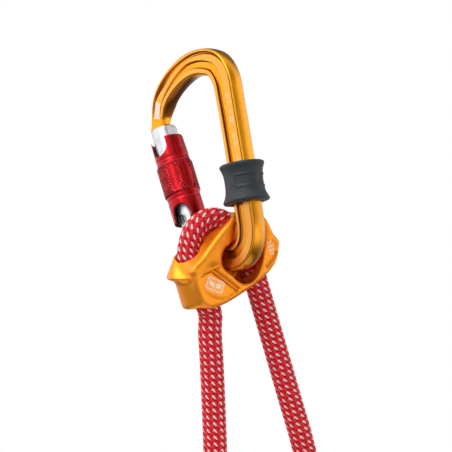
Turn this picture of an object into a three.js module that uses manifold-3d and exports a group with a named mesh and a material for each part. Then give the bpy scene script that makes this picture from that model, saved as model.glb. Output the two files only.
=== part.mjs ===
// Rope grab on its carabiner: a forged rope adjuster, a locking carabiner with a rubber spine keeper, and
// the lanyard rope that runs up through the adjuster, over the carabiner's lower arm and down again.
// Millimetres. +Z is up as the part hangs, X runs from the gate to the spine in the carabiner's plane, and
// Y is normal to that plane. The origin is at the inner top of the carabiner's arch, where it hangs.
import * as THREE from "three";
import { mergeVertices } from "three/addons/utils/BufferGeometryUtils.js";
import Module from "manifold-3d";

const wasm = await Module();
wasm.setup();

// ---------------------------------------------------------------- driving dimensions
const ROPE_R = 5.5; // 11 mm kernmantle rope
const CLEAR = 0.35; // gap kept between touching pieces

const FRAME_DEPTH = 11; // carabiner bar, measured in the carabiner's plane
const FRAME_THICK = 9.4; // and across it
const FRAME_ROUND = 2; // corner radius of the bar
const GROOVE_DEPTH = 1.3; // the bar's lightening grooves
// Centreline of the bar in the XZ plane, from the nose over the arch and down the spine to the hinge.
const FRAME_LINE = [
  [-33, -24.5], [-32, -17.5], [-29.6, -10.8], [-25, -4.8], [-18.6, 0.4], [-10.6, 4.4], [-2, 5.5],
  [5.8, 3.7], [11.1, -2.4], [14.2, -13], [20.6, -40], [26.4, -66], [27.8, -76], [26.6, -83], [21.6, -88],
  [14.7, -88.9], [8.2, -86.5], [1.6, -81.8], [-4.8, -77.6], [-10.6, -74.2],
];

const HINGE = [-10.6, -74.2]; // gate hinge axis, X and Z
const GATE_ANGLE = THREE.MathUtils.degToRad(-23.3); // lean of the closed gate about +Y
const GATE_TOP = 53.4; // length of the gate above its hinge
const GATE_R = 5.0; // gate under the sleeve
const COLLAR_R = 5.9; // gate's bare upper end
const COLLAR_FROM = 36;
const TONGUE = 2.0; // half thickness of the hinge tongue and of the nose
const FORK_GAP = 2.4; // half width of the slots that take them
const RIVET_R = 1.6;

const SLEEVE_FROM = 4.3; // locking sleeve, along the gate
const SLEEVE_TO = 47.4;
const SLEEVE_R = 8.25;
const KNURL_R = 8.8;
const KNURL = [18.2, 34.8];
const SLEEVE_BORE = 6.55;
const POCKET_R = 7.55; // room for the sleeve's spring
const POCKET = [15.5, 34];

const KEEPER_AT = 0.74; // place on the spine's straight run, from its top
const KEEPER_HALF = 9.3; // half height
const KEEPER_WAIST = [9.9, 8.6]; // half depth and half thickness
const KEEPER_FLARE = 1.25; // ends over waist

const ADJUSTER_AT = [6, 0.5, -83.2]; // centre of the adjuster's rope path
const ADJUSTER_YAW = THREE.MathUtils.degToRad(-18); // turned towards the carabiner's front
const ADJUSTER_ROLL = THREE.MathUtils.degToRad(18); // tail side up
const CHANNEL = 14; // rope channel axes, each side of the centre
const CHANNEL_R = 6.4;
const WRAP_R = 13.3; // rope centreline over the carabiner's arm
const PLATE_OUT = 12; // front and back plates of the forging
const PLATE_IN = 7;
const TUBE_R = 10;

// ---------------------------------------------------------------- materials
const paint = (color, roughness, metalness) =>
  new THREE.MeshStandardMaterial({ color, roughness, metalness });
const LOOK = {
  orange: paint(0xe8890c, 0.35, 0.85),
  silver: paint(0xd8dadb, 0.3, 0.9),
  red: paint(0xb5121b, 0.32, 0.8),
  steel: paint(0x9a9da0, 0.35, 1),
  rubber: paint(0x3c4247, 0.8, 0),
  black: paint(0x18181a, 0.6, 0),
  rope: paint(0xc21a22, 0.85, 0),
  strap: paint(0x202226, 0.9, 0),
};

// ---------------------------------------------------------------- small helpers
// A closed geometry as a solid that can be cut and joined.
function solidOf(geometry) {
  const bare = new THREE.BufferGeometry();
  bare.setAttribute("position", geometry.getAttribute("position").clone());
  if (geometry.index) bare.setIndex(geometry.index.clone());
  const merged = mergeVertices(bare, 1e-4);
  return new wasm.Manifold(new wasm.Mesh({
    numProp: 3,
    vertProperties: merged.attributes.position.array,
    triVerts: new Uint32Array(merged.index.array),
  }));
}

function geometryOf(solid) {
  const mesh = solid.getMesh();
  const position = new Float32Array(mesh.numVert * 3);
  for (let i = 0; i < mesh.numVert; i++) {
    position.set(mesh.vertProperties.subarray(i * mesh.numProp, i * mesh.numProp + 3), i * 3);
  }
  return new THREE.BufferGeometry()
    .setAttribute("position", new THREE.BufferAttribute(position, 3))
    .setIndex(new THREE.BufferAttribute(mesh.triVerts, 1));
}

function add(parent, name, geometry, material) {
  const mesh = new THREE.Mesh(geometry, material);
  mesh.name = name;
  parent.add(mesh);
  return mesh;
}

const addSolid = (parent, name, solid, material) => add(parent, name, geometryOf(solid), material);

// A box given by its two corners.
function boxOf(low, high) {
  const size = high.map((h, i) => h - low[i]);
  const middle = high.map((h, i) => (h + low[i]) / 2);
  return solidOf(new THREE.BoxGeometry(...size).translate(...middle));
}

// A cylinder along the local axis "x", "y" or "z", between two places on it.
function rod(axis, radius, from, to, at = [0, 0, 0], sides = 24) {
  const cylinder = new THREE.CylinderGeometry(radius, radius, to - from, sides);
  cylinder.translate(0, (from + to) / 2, 0);
  if (axis === "z") cylinder.rotateX(Math.PI / 2);
  if (axis === "x") cylinder.rotateZ(-Math.PI / 2);
  return solidOf(cylinder.translate(...at));
}

// A solid of revolution about local Z from [radius, height] points that start and end on the axis, or close.
function turned(profile, sides = 28) {
  const points = profile.map(([r, z]) => new THREE.Vector2(r, z));
  return solidOf(new THREE.LatheGeometry(points, sides).rotateX(Math.PI / 2));
}

// A ring of revolution with a rectangular section, as [inner radius, outer radius, from, to].
const ring = (inner, outer, from, to, sides) =>
  turned([[inner, from], [outer, from], [outer, to], [inner, to], [inner, from]], sides);

const circle = (radius, sides) =>
  new THREE.Shape(Array.from({ length: sides }, (_, i) => {
    const turn = (2 * Math.PI * i) / sides;
    return new THREE.Vector2(radius * Math.cos(turn), radius * Math.sin(turn));
  }));

const curveOf = (points) =>
  new THREE.CatmullRomCurve3(points.map((p) => new THREE.Vector3(...p)), false, "centripetal");

// A section swept along a curve with flat ends.
const swept = (shape, curve, steps) =>
  new THREE.ExtrudeGeometry(shape, { steps, extrudePath: curve, curveSegments: 6 });

// A flat plate in the local YZ plane: an outline extruded along local X.
function plate(outline, from, to, smooth = 0) {
  const points = outline.map(([y, z]) => new THREE.Vector2(y, z));
  const drawn = smooth ? new THREE.SplineCurve([...points, points[0]]).getPoints(smooth) : points;
  if (smooth) drawn.pop();
  const shape = new THREE.Shape(drawn);
  const geometry = new THREE.ExtrudeGeometry(shape, { depth: to - from, bevelEnabled: false });
  const stand = new THREE.Matrix4().set(0, 0, 1, from, 1, 0, 0, 0, 0, 1, 0, 0, 0, 0, 0, 1);
  return solidOf(geometry.applyMatrix4(stand));
}

const root = new THREE.Group();

// ---------------------------------------------------------------- carabiner frame
const gateGroup = new THREE.Group();
gateGroup.position.set(HINGE[0], 0, HINGE[1]);
gateGroup.rotation.y = GATE_ANGLE;
gateGroup.updateMatrix();
root.add(gateGroup);
const inRow = (solid, group) => solid.transform(group.matrix.elements);

const FRAME_STEPS = 48;
const frameCurve = curveOf(FRAME_LINE.map(([x, z]) => [x, 0, z]));

// The bar's section: x across the carabiner's plane, y in it towards the inside, two grooves on each face.
function frameSection(grow = 0) {
  const halfThick = FRAME_THICK / 2 + grow;
  const halfDepth = FRAME_DEPTH / 2 + grow;
  const round = FRAME_ROUND + grow;
  const floor = halfThick - GROOVE_DEPTH;
  const groove = grow ? [] : [[halfThick, 0.8], [floor, 1.16], [floor, 2.24], [halfThick, 2.6]];
  const corner = [0.15, 0.85].map((share) => {
    const turn = (share * Math.PI) / 2;
    return [halfThick - round + round * Math.cos(turn), halfDepth - round + round * Math.sin(turn)];
  });
  const quarter = (sx, sy) => [...groove, ...corner].map(([x, y]) => new THREE.Vector2(sx * x, sy * y));
  return new THREE.Shape([
    ...quarter(1, 1), ...quarter(-1, 1).reverse(), ...quarter(-1, -1), ...quarter(1, -1).reverse(),
  ]);
}

function carabinerFrame() {
  const bar = solidOf(swept(frameSection(), frameCurve, FRAME_STEPS));
  // In the gate's frame: room for the closed gate, then the nose and the hinge tongue that its slots take.
  const gateRoom = boxOf([-9, -9, 30], [9, 9, GATE_TOP + 0.6]);
  const nose = boxOf([-3.4, -TONGUE + 0.4, GATE_TOP - 4.6], [2.0, TONGUE - 0.4, GATE_TOP + 3]);
  const hingeRoom = (side) => rod("y", 6.2, side > 0 ? TONGUE : -9, side > 0 ? 9 : -TONGUE);
  const knuckle = rod("y", 4.2, -TONGUE, TONGUE);
  const hole = rod("y", RIVET_R + 0.3, -9, 9);
  return bar
    .subtract(inRow(gateRoom, gateGroup)).add(inRow(nose, gateGroup))
    .subtract(inRow(hingeRoom(1), gateGroup)).subtract(inRow(hingeRoom(-1), gateGroup))
    .add(inRow(knuckle, gateGroup)).subtract(inRow(hole, gateGroup));
}
addSolid(root, "carabiner_frame", carabinerFrame(), LOOK.orange);

// ---------------------------------------------------------------- gate and its spring
const SPRING_BORE = 2.3;
const SPRING_ROOM = [9, 30];

function gateLever() {
  const body = turned([
    [0, -6], [GATE_R - 1.2, -6], [GATE_R, -4.6], [GATE_R, COLLAR_FROM], [COLLAR_R, COLLAR_FROM + 0.6],
    [COLLAR_R, GATE_TOP - 0.8], [COLLAR_R - 0.8, GATE_TOP], [0, GATE_TOP],
  ], 32);
  const flatCheeks = boxOf([-9, -FRAME_THICK / 2, -9], [9, FRAME_THICK / 2, 6.5])
    .add(boxOf([-9, -9, 6.4], [9, 9, GATE_TOP + 1]));
  const roundEnd = rod("y", 5.2, -9, 9).add(boxOf([-9, -9, 0], [9, 9, GATE_TOP + 1]));
  const forkSlot = boxOf([-9, -FORK_GAP, -9], [9, FORK_GAP, 6.6]);
  const noseSlot = boxOf([-9, -FORK_GAP + 0.4, GATE_TOP - 6.4], [2.6, FORK_GAP - 0.4, GATE_TOP + 1]);
  const rivetHole = rod("y", RIVET_R + 0.3, -9, 9);
  const springHole = rod("z", SPRING_BORE, 6, SPRING_ROOM[1]);
  const pinHole = rod("y", 1.35, -9, 9, [0, 0, 12.5]);
  return body.intersect(flatCheeks).intersect(roundEnd)
    .subtract(forkSlot).subtract(noseSlot).subtract(rivetHole).subtract(springHole).subtract(pinHole);
}
addSolid(gateGroup, "gate_lever", gateLever(), LOOK.silver);

const rivet = turned([
  [0, -5.4], [1.9, -5.4], [2.5, -5], [RIVET_R, -5], [RIVET_R, 5], [2.5, 5], [1.9, 5.4], [0, 5.4],
], 20);
const rivetMesh = addSolid(root, "hinge_rivet", rivet, LOOK.steel);
rivetMesh.position.set(HINGE[0], 0, HINGE[1]);
rivetMesh.rotation.x = Math.PI / 2;

// A coil spring about local Z as a helix with flat ends.
class Helix extends THREE.Curve {
  constructor(radius, from, to, turns) {
    super();
    Object.assign(this, { radius, from, to, turns });
  }

  getPoint(t, target = new THREE.Vector3()) {
    const turn = 2 * Math.PI * this.turns * t;
    const height = this.from + (this.to - this.from) * t;
    return target.set(this.radius * Math.cos(turn), this.radius * Math.sin(turn), height);
  }
}

const coil = (radius, wire, from, to, turns) =>
  swept(circle(wire, 5), new Helix(radius, from, to, turns), turns * 10);

const plunger = turned([[0, 6.5], [0.9, 6.5], [1.8, 7.6], [1.8, 11.2], [0, 11.2]], 16);
addSolid(gateGroup, "gate_plunger", plunger.subtract(rod("y", 1.5, -9, 9, [0, 0, 12.5])), LOOK.steel);
add(gateGroup, "gate_spring", coil(1.6, 0.3, 14.4, 29, 4), LOOK.steel);
addSolid(gateGroup, "plunger_pin", rod("y", 1.0, -4.7, 4.7, [0, 0, 12.5], 16), LOOK.steel);

// ---------------------------------------------------------------- locking sleeve, its liner and spring
const liner = ring(GATE_R + 0.3, 6.2, 6.9, 35, 32);
addSolid(gateGroup, "sleeve_liner", liner, LOOK.black);
add(gateGroup, "sleeve_spring", coil(7, 0.3, 21.4, 33, 4), LOOK.steel);

function lockingSleeve() {
  const outer = [
    [SLEEVE_R - 0.9, SLEEVE_FROM], [SLEEVE_R - 0.2, SLEEVE_FROM + 1], [SLEEVE_R, KNURL[0]],
    [KNURL_R, KNURL[0] + 0.5], [KNURL_R, KNURL[1] - 0.5], [SLEEVE_R, KNURL[1]],
    [SLEEVE_R, SLEEVE_TO - 1.2], [SLEEVE_R - 0.9, SLEEVE_TO],
  ];
  const inner = [
    [SLEEVE_BORE, SLEEVE_TO], [SLEEVE_BORE, POCKET[1]], [POCKET_R, POCKET[1]], [POCKET_R, POCKET[0]],
    [SLEEVE_BORE, POCKET[0]], [SLEEVE_BORE, SLEEVE_FROM],
  ];
  const shell = turned([...outer, ...inner, outer[0]], 28);
  // The two U-shaped windows that pass the carabiner's bar when the sleeve is turned to open.
  const topWindow = boxOf([-4.6, -9, SLEEVE_TO - 6.5], [4.6, 0, SLEEVE_TO + 1])
    .add(rod("y", 4.6, -9, 0, [0, 0, SLEEVE_TO - 6.5]));
  const lowWindow = boxOf([-4.4, -9, SLEEVE_FROM - 1], [4.4, 0, SLEEVE_FROM + 5.6])
    .add(rod("y", 4.4, -9, 0, [0, 0, SLEEVE_FROM + 5.6]));
  return shell.subtract(topWindow).subtract(lowWindow.rotate([0, 0, 18]));
}
addSolid(gateGroup, "locking_sleeve", lockingSleeve(), LOOK.red);

// ---------------------------------------------------------------- rubber keeper on the spine
const SPINE_TOP = [14.2, -13];
const SPINE_LOW = [26.4, -66];
const spineAt = (share) => SPINE_TOP.map((top, i) => top + (SPINE_LOW[i] - top) * share);
const spineLean = Math.atan2(SPINE_TOP[0] - SPINE_LOW[0], SPINE_TOP[1] - SPINE_LOW[1]);

function spineKeeper() {
  // Oval sections stacked along local Z, waisted like a spool, with rounded ends.
  const rows = [-1, -0.93, -0.72, -0.4, 0, 0.4, 0.72, 0.93, 1];
  const swell = (h) => 1 + (KEEPER_FLARE - 1) * h * h - (Math.abs(h) === 1 ? 0.1 : 0);
  const profile = rows.map((h) => [swell(h), h * KEEPER_HALF]);
  const spool = turned([[0, -KEEPER_HALF], ...profile, [0, KEEPER_HALF]], 32);
  const oval = spool.scale([KEEPER_WAIST[0], KEEPER_WAIST[1], 1]);
  const halfDepth = FRAME_DEPTH / 2 + CLEAR;
  const halfThick = FRAME_THICK / 2 + CLEAR;
  const reach = KEEPER_HALF + 1;
  return oval.subtract(boxOf([-halfDepth, -halfThick, -reach], [halfDepth, halfThick, reach]));
}
const keeper = addSolid(root, "spine_keeper", spineKeeper(), LOOK.rubber);
const [keeperX, keeperZ] = spineAt(KEEPER_AT);
keeper.position.set(keeperX, 0, keeperZ);
keeper.rotation.y = spineLean;

// ---------------------------------------------------------------- rope adjuster
const adjusterGroup = new THREE.Group();
adjusterGroup.position.set(...ADJUSTER_AT);
adjusterGroup.rotation.order = "ZXY";
adjusterGroup.rotation.set(ADJUSTER_ROLL, 0, ADJUSTER_YAW);
adjusterGroup.updateMatrix();
root.add(adjusterGroup);
const toRow = (p) => new THREE.Vector3(...p).applyMatrix4(adjusterGroup.matrix).toArray();

// Outlines in the adjuster's own YZ plane: y from the load side to the tail side, z up.
const FRONT_OUTLINE = [
  [-21.5, -4], [-20.4, -1], [-16, 0.6], [-10.4, 3.8], [-4, 9], [3.2, 12.2], [7.4, 14.2], [11, 13.8],
  [14.6, 13], [19, 11], [22.6, 5.6], [26.4, -4.2], [23, -11.2], [15.6, -17.6], [4.3, -21.6], [-6.8, -23.2],
  [-15, -23.6], [-19.4, -20], [-21, -12],
];
const FRONT_WINDOW = [
  [-5.4, -4.6], [-0.6, -12.6], [2, -15.6], [4.8, -16.8], [8, -15.4], [16.6, -7], [19.2, 1], [18.2, 9.6],
  [8, 9], [1, 3.6],
];
const BACK_OUTLINE = [
  [-20, -4], [-18, -1.4], [-14, -2.6], [-8, -6], [0, -9], [7, -6.5], [11.5, 2], [13, 11], [16.6, 11.4],
  [20.4, 9], [22.6, 4.4], [25.8, -4.4], [23, -11.2], [15.6, -17.6], [4.3, -21.6], [-6.8, -23.2],
  [-15, -23.6], [-18.6, -20], [-19.6, -12],
];

// Rope path in the adjuster's plane: up the load channel, over the carabiner's arm, down the tail channel.
const PATH_END = -13; // where the bight meets the two free strands, inside the channels
const wrapPoint = (turn) => [0, -WRAP_R * Math.cos(turn), 1.6 + WRAP_R * Math.sin(turn)];
const BIGHT = [
  [0, -CHANNEL, PATH_END], [0, -CHANNEL, PATH_END + 2], [0, -CHANNEL, PATH_END + 4],
  ...[0.06, 0.2, 0.35, 0.5, 0.65, 0.8, 0.94].map((share) => wrapPoint(share * Math.PI)),
  [0, CHANNEL, PATH_END + 4], [0, CHANNEL, PATH_END + 2], [0, CHANNEL, PATH_END],
];

function ropeRoom() {
  const through = [[0, -CHANNEL, -30], ...BIGHT, [0, CHANNEL, -30]];
  return solidOf(swept(circle(CHANNEL_R, 16), curveOf(through), 64));
}

const SWING = [-9, 5]; // the adjuster's swing about the carabiner's arm, in degrees
const ARM_AT = [6, 0, -85]; // a point on the swing's axis, which lies along X

// Room for the carabiner's bar at every angle of the adjuster's swing, in the adjuster's frame.
function barRoom() {
  const fat = solidOf(swept(frameSection(0.9), frameCurve, FRAME_STEPS));
  const intoAdjuster = adjusterGroup.matrix.clone().invert();
  const turnAt = (degrees) => new THREE.Matrix4().makeTranslation(...ARM_AT)
    .multiply(new THREE.Matrix4().makeRotationX(THREE.MathUtils.degToRad(degrees)))
    .multiply(new THREE.Matrix4().makeTranslation(...ARM_AT.map((x) => -x)));
  return [SWING[0], 0, SWING[1]]
    .map((degrees) => fat.transform(intoAdjuster.clone().multiply(turnAt(degrees)).elements))
    .reduce((all, one) => all.add(one));
}

function adjusterBody() {
  const window = plate(FRONT_WINDOW, PLATE_IN - 1, PLATE_OUT + 1, 36);
  const front = plate(FRONT_OUTLINE, PLATE_IN, PLATE_OUT, 54).subtract(window);
  const back = plate(BACK_OUTLINE, -PLATE_OUT, -PLATE_IN, 57);
  const loadTube = turned([
    [0, -23.6], [TUBE_R - 1.6, -23.6], [TUBE_R, -21], [TUBE_R, -9.5], [PLATE_OUT, -7], [PLATE_OUT, -3],
    [TUBE_R + 0.4, -1], [0, -1],
  ], 36).translate([0, -CHANNEL - 1, 0]);
  const tailSide = boxOf([-20, 9, -30], [20, 40, 30]);
  const tailTube = rod("z", TUBE_R, -19, 11, [0, CHANNEL, 0], 36).intersect(tailSide);
  const floor = boxOf([-PLATE_IN - 1, -7, -22.5], [PLATE_IN + 1, 12, -18.6]);
  const trim = plate(FRONT_OUTLINE, -PLATE_OUT - 2, PLATE_OUT + 2, 54);
  const shell = front.add(back).add(loadTube).add(tailTube.add(floor).intersect(trim));
  return shell.subtract(ropeRoom()).subtract(barRoom());
}
addSolid(adjusterGroup, "adjuster_body", adjusterBody(), LOOK.orange);

// ---------------------------------------------------------------- rope
const ropeTube = (points, steps) => swept(circle(ROPE_R, 10), curveOf(points), steps);
add(adjusterGroup, "rope_bight", ropeTube(BIGHT, 26), LOOK.rope);

// The load strand leaves its channel and hangs straight to the sewn eye.
const EYE_SLEEVE = [-312, -274]; // heights of the shrink sleeve over the eye's stitching
const LOAD_AT = [5, 0]; // where the load strand hangs, X and Y
const LOAD_STRAND = [
  toRow([0, -CHANNEL, PATH_END - CLEAR]), toRow([0, -CHANNEL, -18]), toRow([0, -CHANNEL, -23]),
  toRow([0, -CHANNEL + 0.1, -28]),
  [4.6, -4.1, -122], [4.7, -3.2, -135], [4.8, -2, -155], [4.9, -0.9, -178], [5, -0.3, -200], [5, 0, -222],
  [5, 0, EYE_SLEEVE[1] + CLEAR],
];
add(root, "load_strand", ropeTube(LOAD_STRAND, 34), LOOK.rope);

// The tail strand runs on in line with its channel, comes back to the tie, makes one long fold round the eye
// and ends in its stopper above the tie. The fold lies in the YZ plane through the load strand.
const FOLD_HALF = 33; // centreline radius of the fold's round end
const TIE_Z = -246;
const TIE_HALF = 7;
const STOPPER_FROM = -229; // where the free end enters its stopper
const BESIDE = 2 * ROPE_R + 0.4; // the strands lie this far apart under the tie
const APART = 13.6; // and this far apart at the stopper
const inFold = (across, z) => [LOAD_AT[0], LOAD_AT[1] + across, z];
const FOLD_LOW = -364; // centre of the fold's round end
const foldSide = (side) => [
  inFold(side * BESIDE, TIE_Z + TIE_HALF + 2), inFold(side * BESIDE, TIE_Z),
  inFold(side * BESIDE, TIE_Z - TIE_HALF - 2), inFold(side * 19.5, -273), inFold(side * 27, -304),
  inFold(side * 31.5, -333), inFold(side * FOLD_HALF, -353),
];
const TAIL_STRAND = [
  toRow([0, CHANNEL, PATH_END - CLEAR]),
  ...[-20, -30, -48, -66, -84, -100].map((z) => toRow([0, CHANNEL, z])),
  [19, 47.5, -190], [15.5, 45, -205], [10, 34, -220], [6.2, 19.4, -229.5], ...foldSide(1),
  ...[0.1, 0.25, 0.4, 0.5, 0.6, 0.75, 0.9].map((share) =>
    inFold(FOLD_HALF * Math.cos(share * Math.PI), FOLD_LOW - FOLD_HALF * Math.sin(share * Math.PI))),
  ...foldSide(-1).reverse(),
  inFold(-APART, STOPPER_FROM - 3), inFold(-APART, STOPPER_FROM - CLEAR),
];
add(root, "tail_strand", ropeTube(TAIL_STRAND, 72), LOOK.rope);

// ---------------------------------------------------------------- what is on the rope
const foldGroup = new THREE.Group();
foldGroup.position.set(LOAD_AT[0], LOAD_AT[1], 0);
root.add(foldGroup);

// A level slab with round ends, as half width, half thickness and two heights.
function slab(halfWidth, halfThick, from, to, at = 0) {
  const shape = new THREE.Shape();
  shape.absarc(0, halfWidth - halfThick, halfThick, 0, Math.PI, false);
  shape.absarc(0, halfThick - halfWidth, halfThick, Math.PI, 2 * Math.PI, false);
  const settings = { depth: to - from, bevelEnabled: false, curveSegments: 10 };
  const geometry = new THREE.ExtrudeGeometry(shape, settings);
  return solidOf(geometry.translate(0, at, from));
}

const tie = slab(3 * ROPE_R + 2.6, ROPE_R + 2.2, TIE_Z - TIE_HALF, TIE_Z + TIE_HALF)
  .subtract(slab(3 * ROPE_R + 1.2, ROPE_R + 0.7, TIE_Z - TIE_HALF - 1, TIE_Z + TIE_HALF + 1));
addSolid(foldGroup, "hank_tie", tie, LOOK.strap);

const EYE_LOOP = { centre: -346, radius: 15, leg: 5.9 }; // rope loop below the sleeve
addSolid(foldGroup, "eye_sleeve", slab(12.2, 6.6, ...EYE_SLEEVE), LOOK.black);

const loopPoint = (share) => {
  const turn = share * Math.PI;
  return [0, EYE_LOOP.radius * Math.cos(turn), EYE_LOOP.centre - EYE_LOOP.radius * Math.sin(turn)];
};
const eyeTop = EYE_SLEEVE[0] - CLEAR;
const EYE = [
  [0, EYE_LOOP.leg, eyeTop], [0, EYE_LOOP.leg, eyeTop - 2], [0, EYE_LOOP.leg + 1.4, eyeTop - 9],
  [0, EYE_LOOP.radius - 2, EYE_LOOP.centre + 12],
  ...[0, 0.2, 0.35, 0.5, 0.65, 0.8, 1].map(loopPoint),
  [0, 2 - EYE_LOOP.radius, EYE_LOOP.centre + 12], [0, -EYE_LOOP.leg - 1.4, eyeTop - 9],
  [0, -EYE_LOOP.leg, eyeTop - 2], [0, -EYE_LOOP.leg, eyeTop],
];
add(foldGroup, "load_eye", ropeTube(EYE, 30), LOOK.rope);

const THIMBLE_R = EYE_LOOP.radius - ROPE_R - CLEAR;
const thimble = rod("x", THIMBLE_R, -6.5, 6.5, [0, 0, EYE_LOOP.centre], 28)
  .subtract(rod("x", THIMBLE_R - 1.6, -8, 8, [0, 0, EYE_LOOP.centre], 28));
addSolid(foldGroup, "eye_thimble", thimble, LOOK.black);

const STOPPER_LENGTH = 30;
const stopper = turned([
  [0, 0], [6.4, 0], [7.4, 1.2], [7.4, STOPPER_LENGTH - 4], [6, STOPPER_LENGTH], [0, STOPPER_LENGTH],
], 28).translate([0, -APART, STOPPER_FROM]);
addSolid(foldGroup, "tail_stopper", stopper, LOOK.black);
const endCap = turned([[0, 0], [5.2, 0], [5.4, 2.2], [4.2, 4], [0, 4]], 24)
  .translate([0, -APART, STOPPER_FROM + STOPPER_LENGTH + CLEAR]);
addSolid(foldGroup, "tail_end_cap", endCap, LOOK.rope);

export default root;
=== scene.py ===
"""Rope grab on its locking carabiner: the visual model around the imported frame.

Forged and turned pieces are distance fields in millimetres, meshed as fine quads. The carabiner's bar is a swept
section, and the rope is a tube whose strands are real relief. Everything rides on the frame's bodies.
"""
import math

import bpy
import numpy as np
from mathutils import Matrix, Vector


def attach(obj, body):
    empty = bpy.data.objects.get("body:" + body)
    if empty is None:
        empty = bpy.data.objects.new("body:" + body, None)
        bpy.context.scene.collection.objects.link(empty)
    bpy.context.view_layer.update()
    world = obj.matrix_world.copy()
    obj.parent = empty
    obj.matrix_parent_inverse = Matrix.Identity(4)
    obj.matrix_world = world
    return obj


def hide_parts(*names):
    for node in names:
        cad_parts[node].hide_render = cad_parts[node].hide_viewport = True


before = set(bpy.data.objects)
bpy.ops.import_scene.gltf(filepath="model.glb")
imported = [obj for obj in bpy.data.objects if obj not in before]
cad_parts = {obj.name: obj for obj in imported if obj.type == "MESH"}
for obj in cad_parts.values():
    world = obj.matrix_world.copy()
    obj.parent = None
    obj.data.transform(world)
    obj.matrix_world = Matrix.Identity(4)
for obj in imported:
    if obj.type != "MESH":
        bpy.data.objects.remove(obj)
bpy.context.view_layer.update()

MM = 0.001

# ---- dimensions shared with the CAD, in millimetres
ROPE_R = 5.5
HINGE = np.array([-10.6, 0.0, -74.2])
GATE_ANGLE = math.radians(-23.3)
GATE_TOP = 53.4
FRAME_HALF_THICK = 4.7
ADJUSTER_AT = np.array([6.0, 0.5, -83.2])
ADJUSTER_YAW = math.radians(-18)
ADJUSTER_ROLL = math.radians(18)
CHANNEL = 14.0
PATH_END = -13.0
JOIN = 0.35
LOAD_X = 5.0
FRAME_LINE = [
    (-33, -24.5), (-32, -17.5), (-29.6, -10.8), (-25, -4.8), (-18.6, 0.4), (-10.6, 4.4), (-2, 5.5), (5.8, 3.7),
    (11.1, -2.4), (14.2, -13), (20.6, -40), (26.4, -66), (27.7, -75), (26.3, -81.8), (21.5, -86.6), (14.7, -87.6),
    (8.2, -85.5), (1.6, -81.3), (-4.8, -77.4), (-10.6, -74.2),
]
SPINE_TOP, SPINE_LOW = np.array([14.2, 0, -13.0]), np.array([26.4, 0, -66.0])
KEEPER_AT = 0.74
EYE_COVER = (-312.0, -274.0)
EYE_CENTRE, EYE_R, EYE_LEG = -346.0, 15.0, 5.9
TIE_Z, TIE_HALF = -246.0, 7.0
STOPPER_FROM, STOPPER_LENGTH = -229.0, 30.0
BESIDE, APART = 11.4, 13.6
FOLD_HALF, FOLD_LOW = 33.0, -364.0


def turn(axis, angle):
    return np.array(Matrix.Rotation(angle, 3, axis))


GATE_TURN = turn("Y", GATE_ANGLE)
ADJUSTER_TURN = turn("Z", ADJUSTER_YAW) @ turn("X", ADJUSTER_ROLL)
KEEPER_TURN = turn("Y", math.atan2(SPINE_TOP[0] - SPINE_LOW[0], SPINE_TOP[2] - SPINE_LOW[2]) + math.radians(2))


ON_GATE, ON_ADJUSTER = (GATE_TURN, HINGE), (ADJUSTER_TURN, ADJUSTER_AT)  # local frames: rotation and origin


def straight(*at):
    """A local frame that isn't turned."""
    return np.eye(3), np.array(at, float)


def placed(points, local):
    """Points of a local frame, in rows, as points in the row frame."""
    rotation, at = local
    return np.asarray(points, float) @ rotation.T + at


def in_adjuster(*points):
    return [tuple(p) for p in placed(points, ON_ADJUSTER)]


# ---- curves
def spline(points, closed=False, per_span=16):
    """A centripetal Catmull-Rom line through the points."""
    p = np.asarray(points, float)
    p = np.vstack([p[-1], p, p[:2]]) if closed else np.vstack([2 * p[0] - p[1], p, 2 * p[-1] - p[-2]])
    made = []
    for p0, p1, p2, p3 in zip(p, p[1:], p[2:], p[3:]):
        t = np.cumsum([0] + [max(np.linalg.norm(b - a) ** 0.5, 1e-6) for a, b in ((p0, p1), (p1, p2), (p2, p3))])
        u = np.linspace(t[1], t[2], per_span, endpoint=False)[:, None]

        def between(i, j, first, second):
            return ((t[j] - u) * first + (u - t[i]) * second) / (t[j] - t[i])

        a1, a2, a3 = between(0, 1, p0, p1), between(1, 2, p1, p2), between(2, 3, p2, p3)
        made.append(between(1, 2, between(0, 2, a1, a2), between(1, 3, a2, a3)))
    if not closed:
        made.append(p[-2][None])
    return np.vstack(made)


def along(line):
    """Distance along a line at each of its points."""
    return np.concatenate([[0], np.cumsum(np.linalg.norm(np.diff(line, axis=0), axis=1))])


def even(line, step):
    """The line again, with points an even distance apart."""
    s = along(line)
    at = np.linspace(0, s[-1], max(2, int(round(s[-1] / step)) + 1))
    return np.stack([np.interp(at, s, line[:, k]) for k in range(line.shape[1])], axis=1)


# ---- the rope's route, as in the CAD
BIGHT_LOCAL = (
    (0, -CHANNEL, PATH_END), (0, -CHANNEL - 0.2, PATH_END + 2), (-0.2, -15.6, -6), (-0.4, -16.4, -1),
    (-0.4, -15.4, 3), (0, -13.3, 7.5), (0.5, -10.8, 11.1), (1, -6.6, 14.1), (1.4, -2.6, 15), (1.5, 1.3, 14.3),
    (1.3, 4.2, 12.7), (0.9, 6.8, 10.2), (0.5, 9.8, 6), (0.1, 12.4, 0.5), (0, 13.7, -5.5),
    (0, CHANNEL, PATH_END + 2), (0, CHANNEL, PATH_END),
)
BIGHT = in_adjuster(*BIGHT_LOCAL)
LOAD_STRAND = in_adjuster(
    (0, -CHANNEL, PATH_END - JOIN), (0, -CHANNEL, -18), (0, -CHANNEL, -23), (0, -CHANNEL + 0.1, -28)
) + [
    (4.6, -4.1, -122), (4.7, -3.2, -135), (4.8, -2, -155), (4.9, -0.9, -178), (5, -0.3, -200), (5, 0, -222),
    (5, 0, EYE_COVER[1] + JOIN),
]


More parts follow.
